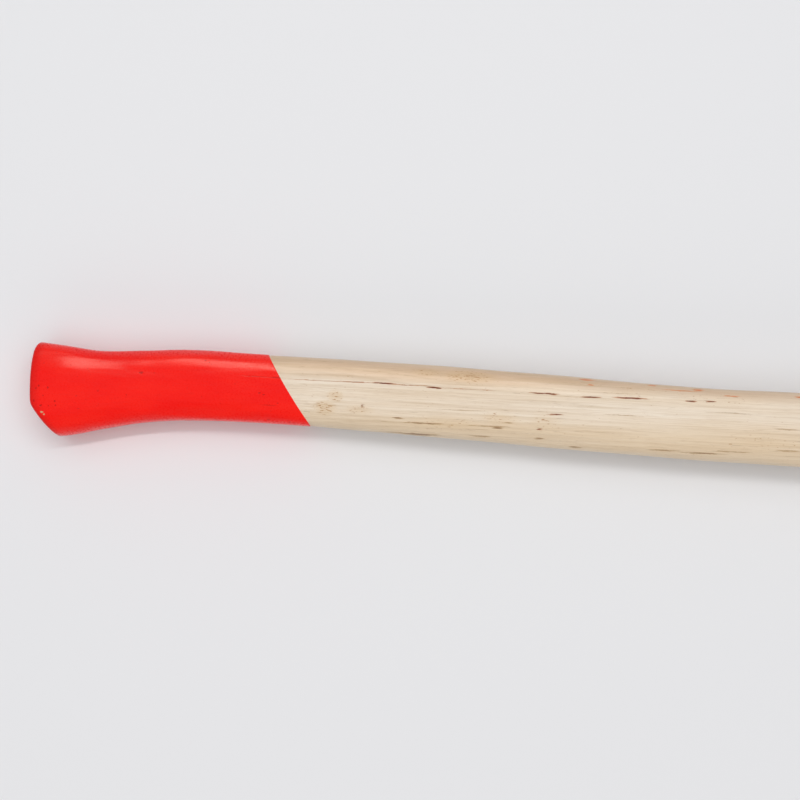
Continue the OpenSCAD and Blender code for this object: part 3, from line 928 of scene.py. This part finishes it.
def steel_wedge(name, y, grow=0.0):
    """Barbed wedge, driven in level with the handle's end; grow makes the slot's cutter."""
    steps = 4
    tip, barb = 0.8, 0.35
    rings = []
    for k in range(steps):
        for share, out in ((0, 0), (1, barb if k < steps - 1 else 0)):
            half = tip + (STEEL_WEDGE_T / 2 - tip) * (k + share) / steps + out
            place = TOP_X - STEEL_WEDGE_L + STEEL_WEDGE_L / steps * (k + share) - 0.01 * share
            rings.append(rounded_box_ring(place, y, half + grow, STEEL_WEDGE_W / 2 + grow, 0.5))
    half = STEEL_WEDGE_T / 2
    if grow:
        rings.append(rounded_box_ring(TOP_X + 2, y, half + grow, STEEL_WEDGE_W / 2 + grow, 0.5))
    else:
        rings[-1][:, 0] -= 0.35
        rings.append(rounded_box_ring(TOP_X, y, half - 0.35, STEEL_WEDGE_W / 2 - 0.35, 0.4))
    n = len(rings[0])
    i = np.arange(n)
    j = (i + 1) % n
    faces = [
        quad
        for k in range(len(rings) - 1)
        for quad in np.stack([k * n + i, k * n + j, k * n + n + j, k * n + n + i], 1)
    ]
    faces += [list(range(n))[::-1], [(len(rings) - 1) * n + c for c in range(n)]]
    return add_mesh(name, np.concatenate(rings), faces)


COAT_GAP = 0.02
WEDGE_SPARE = 0.08
# At the dip line the bare wood lies this far in, so that the dip stands proud; then it comes up
BARE_STEP = COAT_T - 0.03
BARE_RISE = 40


def build_handle():
    """The wood: under the coat, bare up to the head, and as a tenon through the eye."""
    under = COAT_T + COAT_GAP
    rings = butt_rings(under)
    rings += [skin_ring(s, under, under) for s in np.arange(5, DIP_LENGTH - 2, 3.0)]
    for s in np.concatenate([np.arange(DIP_LENGTH - 1, SEAT - 6, 2.5), [SEAT - 4, SEAT - 2]]):
        bare = BARE_STEP * (1 - float(fade(s, DIP_LENGTH, DIP_LENGTH + BARE_RISE)))
        rings.append(skin_ring(s, under if s < DIP_LENGTH else bare))
    rings += [skin_ring(SEAT - 0.8, 0.0), skin_ring(SEAT - 0.1, 0.7)]
    rings += [eye_ring(x, -EYE_GAP) for x in np.linspace(-CHIN_H, TOP_X - END_BREAK, 12)]
    rings += [eye_ring(TOP_X - 0.3, -EYE_GAP - 0.3), eye_ring(TOP_X, -EYE_GAP - END_BREAK)]
    rings += [eye_ring(TOP_X, -EYE_GAP - inset) for inset in (4, 8, 11)]
    handle = loft("hickory_handle", rings)
    slots = [steel_wedge("slot", side * STEEL_WEDGE_REACH, WEDGE_SPARE) for side in (-1, 1)]
    cut(handle, kerf_cutter(WEDGE_SPARE), *slots)
    return lay_down(handle, hickory_material(), "handle")


# The dip's rounded edge: distance before the dip line, and inset
LIP = [(0.6, 0.0), (0.25, 0.05), (0.04, 0.14), (0, COAT_T)]


def build_coat():
    """The dipped skin, outside and inside, with painted shade on its rounded butt rim marked for the
    material.
    """
    places = list(np.arange(4.5, DIP_LENGTH - 1.5, 1.5))
    outer = butt_rings(0.0)
    outer += [skin_ring(s, 0) for s in places]
    outer += [skin_ring(DIP_LENGTH - before, inset) for before, inset in LIP]
    inner = [skin_ring(s, COAT_T, COAT_T) for s in [DIP_LENGTH - 1.0] + places[::-4]]
    inner += butt_rings(COAT_T)[::-1]
    coat = loft("dipped_grip", outer + inner)
    # How strong the painted shade is on each ring over the butt's rounded rim
    rim = [0.0] * 5 + [0.35] + [1.0] * 5 + [0.75, 0.2]
    set_ring_values(coat, "rim", rim + [0.0] * (len(outer) + len(inner) - len(rim)))
    return lay_down(coat, dip_material(), "grip_coat")


# ---------------------------------------------------------------- head piece

CORNER_R = 2.6
SECTION_BOW = 0.012
POLL_SHAPE_T = Curve([
    (CHEEK_BACK, CHEEK_T / 2),
    ((CHEEK_BACK + POLL_REACH) / 2, POLL_T / 2 - 0.7),
    (POLL_REACH - POLL_BEVEL, POLL_T / 2),
])
BIT_T = Curve([
    (-BIT_REACH, EDGE_T / 2),
    (-BIT_REACH + 20, EDGE_T / 2 + 6.6),
    (-WING_REACH - 38, WING_T / 2 * 0.47),
    (-WING_REACH - 20, WING_T / 2 * 0.72),
    (-WING_REACH - 6, WING_T / 2 * 0.955),
    (-WING_REACH, WING_T / 2),
    (-WING_REACH + 7, (WING_T + CHEEK_T) / 4),
    (CHEEK_FRONT, CHEEK_T / 2),
])


def half_thickness(y):
    """Half the head's thickness at y: the bit, the cheeks, then the poll."""
    if y <= CHEEK_FRONT:
        return float(BIT_T(y))
    if y <= CHEEK_BACK:
        return CHEEK_T / 2
    return float(POLL_SHAPE_T(min(y, POLL_REACH - POLL_BEVEL)))


def half_height(y, outline, lug_h):
    """Height of the head above or below the eye's centre, at y."""
    if y <= outline[-1][0]:
        return float(Curve(outline)(y))
    if y <= LUG:
        return lug_h
    run = Curve([
        (LUG, lug_h),
        (LUG + LUG_RUN, (POLL_H / 2 + lug_h) / 2 - 1),
        (POLL_REACH - POLL_BEVEL, POLL_H / 2),
    ])
    return float(run(min(y, POLL_REACH - POLL_BEVEL)))


def head_section(up, down, half_t, chamfer, radius):
    """Outline across the head in (x, z), from the middle of its upper face round by +z; its corners
    are cut by a chamfer whose two knees are arcs."""
    arc_n, long_n, short_n = 5, 20, 10
    radius = min(radius, half_t * 0.55)
    chamfer = max(chamfer, 0.5858 * radius)
    tangent = radius * math.tan(math.pi / 8)

    def arc(knee_x, knee_z, before, after):
        knee = np.array([knee_x, knee_z])
        start = knee - tangent * before
        stop = knee + tangent * after
        inward = after - before
        centre = knee + inward / np.linalg.norm(inward) * radius / math.cos(math.pi / 8)
        a, b = start - centre, stop - centre
        turn = math.pi / 4
        return [
            centre + (math.sin((1 - t) * turn) * a + math.sin(t * turn) * b) / math.sin(turn)
            for t in np.linspace(0, 1, arc_n)
        ]

    diagonal = math.sqrt(0.5)
    down_x, diag_in, along_z = np.array([-1.0, 0]), np.array([-diagonal, diagonal]), np.array([0, 1.0])
    diag_out = np.array([-diagonal, -diagonal])
    half = arc(up, half_t - chamfer, along_z, diag_in)
    half += arc(up - chamfer, half_t, diag_in, down_x)
    lower = arc(-down + chamfer, half_t, down_x, diag_out)
    lower += arc(-down, half_t - chamfer, diag_out, -along_z)
    top_z = np.linspace(0, half[0][1], short_n + 1)[:-1]
    side_x = np.linspace(half[-1][0], lower[0][0], long_n + 1)[1:-1]
    bottom_z = np.linspace(lower[-1][1], 0, short_n + 1)[1:]
    right = [np.array([up, z]) for z in top_z] + half
    right += [np.array([x, half_t]) for x in side_x] + lower
    right += [np.array([-down, z]) for z in bottom_z]
    mirrored = [p * np.array([1, -1]) for p in right[-2:0:-1]]
    section = np.array(right + mirrored)
    bow = SECTION_BOW * half_t * (1 - (section[:, 1] / half_t) ** 2)
    section[:, 0] -= np.where(section[:, 0] > 0, 1, -1) * (SECTION_BOW * half_t - bow)
    return section


def head_ring(y, shrink=0.0):
    """Ring of the head whose middle is at y: flat at the poll, and at the bit an arc about the
    edge's centre."""
    bend = float(fade(-y, -10, -CHEEK_FRONT))
    radius = ARC_Y - y

    def bent(x):
        return y + bend * (ARC_Y - np.sqrt(np.maximum(radius**2 - (x - EDGE_X) ** 2, 0)) - y)

    up, down = half_height(y, CROWN, CROWN_H), half_height(y, CHIN, CHIN_H)
    for _ in range(4):
        up = half_height(float(bent(up)), CROWN, CROWN_H)
        down = half_height(float(bent(-down)), CHIN, CHIN_H)
    reach = float(np.clip((y - LUG) / (POLL_REACH - LUG), 0, 1))
    swell = up + half_thickness(LUG) - POLL_H / 2 - POLL_T / 2
    chamfer = max(0.0, POLL_FLAT * reach - max(0.0, swell) * (1 - reach) * 0.4)
    section = head_section(up - shrink, down - shrink, half_thickness(y) - shrink, chamfer, CORNER_R)
    return np.stack([section[:, 0], bent(section[:, 0]), section[:, 1]], 1)


FORGE_DEPTH, FORGE_GRAIN = 0.30, 0.08


def build_head():
    """The forging, its skin slightly uneven except where it is ground, with the eye cut through."""
    face = head_ring(POLL_REACH - POLL_BEVEL, POLL_BEVEL)
    face[:, 1] = POLL_REACH
    rings = [face * (share, 1, share) for share in (0.35, 0.7)]
    for a in np.linspace(0.12, math.pi / 2, 7):
        ring = head_ring(POLL_REACH - POLL_BEVEL, POLL_BEVEL * (1 - math.sin(a)))
        ring[:, 1] = POLL_REACH - 0.15 - (POLL_BEVEL - 0.15) * (1 - math.cos(a))
        rings.append(ring)
    rings += [head_ring(y) for y in np.linspace(POLL_REACH - POLL_BEVEL, -BIT_REACH + 6, 84)[1:]]
    rings += [head_ring(y) for y in (-BIT_REACH + 4, -BIT_REACH + 2, -BIT_REACH + 0.8)]
    last = rings[-1].copy()
    last[:, 2] *= 0.35
    last[:, 1] -= 0.75
    rings.append(last)
    head = loft("forged_head", rings, flat_start=True)
    merge_close(head, 0.09)

    def forging(p):
        from_bit = fade(p.y, -BIT_REACH + GROUND_BIT, -BIT_REACH + GROUND_BIT + 15)
        keep = float(from_bit * fade(-p.y, -POLL_REACH + 4, -POLL_REACH + 12))
        q = p * 0.06
        broad = FORGE_DEPTH * keep * (0.5 + 0.5 * noise.noise(q))
        return -broad - FORGE_GRAIN * keep * (0.5 + 0.5 * noise.noise(q * 4))

    displace(head, forging)
    eye = loft("eye", [
        eye_ring(-CHIN_H - 3, EYE_CHAMFER + 3, 96),
        eye_ring(-CHIN_H + EYE_CHAMFER, 0, 96),
        eye_ring(CROWN_H - EYE_CHAMFER, 0, 96),
        eye_ring(CROWN_H + 3, EYE_CHAMFER + 3, 96),
    ])
    cut(head, eye)
    return lay_down(head, head_material(), "maul_head", 30)


head = build_head()
handle = build_handle()
coat = build_coat()
wedge_steel = wedge_steel_material()
for place, side in (("front", -1), ("rear", 1)):
    wedge = steel_wedge("driven_wedge_" + place, side * STEEL_WEDGE_REACH)
    lay_down(wedge, wedge_steel, "steel_wedge_" + place, 25)
wooden_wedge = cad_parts["wooden_wedge"]
wooden_wedge.data.materials.clear()
wooden_wedge.data.materials.append(wedge_wood_material())

# ---------------------------------------------------------------- floor, light and camera

FLOOR_SIZE = 60
FLOOR_GAP = 0.0001


def build_floor():
    bpy.ops.mesh.primitive_plane_add(size=FLOOR_SIZE, location=(0, 0, cad_low.z - FLOOR_GAP))
    floor = bpy.context.object
    floor.name = "floor"
    s = Shader("floor")
    floor.data.materials.append(
        s.surface(Base_Color=(0.80, 0.80, 0.81), Roughness=0.6, Specular_IOR_Level=0.2)
    )


# The middle of the half of the handle that the camera sees
LIGHT_TARGET = Vector((-0.2, 0.05, 0))
# Name, place, length and width, power, colour, and the kind of ray it is hidden from
LIGHTS = [
    ("key", (-0.25, 0.45, 1.5), (1.6, 0.07), 6.2, (1, 1, 1), "visible_glossy"),
    ("window", (-0.2, 1.6, 1.15), (0.9, 0.9), 29, (1, 0.88, 0.74), "visible_diffuse"),
    ("fill", (-0.2, -1.8, 0.9), (2.4, 0.7), 5, (1, 0.93, 0.84), "visible_glossy"),
]
# Wide overhead light, so that the floor stays even far away
SKY_POWER = 1.16
SKY_SPREAD = 80
WORLD_COLOUR, WORLD_POWER = (0.95, 0.965, 1.0), 0.38


def add_light(name, place, size, power, colour):
    """Rectangular light aimed at LIGHT_TARGET."""
    data = bpy.data.lights.new(name, "AREA")
    data.shape = "RECTANGLE"
    data.size, data.size_y = size
    data.energy = power
    data.color = colour
    light = bpy.data.objects.new(name, data)
    light.location = place
    light.rotation_euler = (LIGHT_TARGET - Vector(place)).to_track_quat("-Z", "Y").to_euler()
    bpy.context.scene.collection.objects.link(light)
    return light


build_floor()

VIEW_WIDTH = 0.400
VIEW_Y, VIEW_Z = 0.0506, 0.017
LEFT_MARGIN = 0.01715
LENS, SENSOR = 70, 36
CAMERA_TILT = 4
grip_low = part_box("grip_coat")[0]
view_middle = Vector((grip_low.x - LEFT_MARGIN + VIEW_WIDTH / 2, VIEW_Y, VIEW_Z))

camera_data = bpy.data.cameras.new("camera")
camera_data.lens, camera_data.sensor_width = LENS, SENSOR
camera = bpy.data.objects.new("camera", camera_data)
distance = VIEW_WIDTH * LENS / SENSOR
tilt = math.radians(CAMERA_TILT)
camera.location = view_middle + distance * Vector((0, -math.sin(tilt), math.cos(tilt)))
camera.rotation_euler = (tilt, 0, 0)
bpy.context.scene.collection.objects.link(camera)
bpy.context.scene.camera = camera

world = bpy.data.worlds.new("studio")
world.use_nodes = True
background = world.node_tree.nodes["Background"].inputs
background["Color"].default_value = (*WORLD_COLOUR, 1)
background["Strength"].default_value = WORLD_POWER
bpy.context.scene.world = world
sky_data = bpy.data.lights.new("sky", "SUN")
sky_data.energy, sky_data.angle = SKY_POWER, math.radians(SKY_SPREAD)
sky = bpy.data.objects.new("sky", sky_data)
sky.visible_glossy = False
bpy.context.scene.collection.objects.link(sky)
for name, place, size, power, colour, hidden_from in LIGHTS:
    setattr(add_light(name, place, size, power, colour), hidden_from, False)
bpy.context.scene.view_settings.view_transform = "Standard"
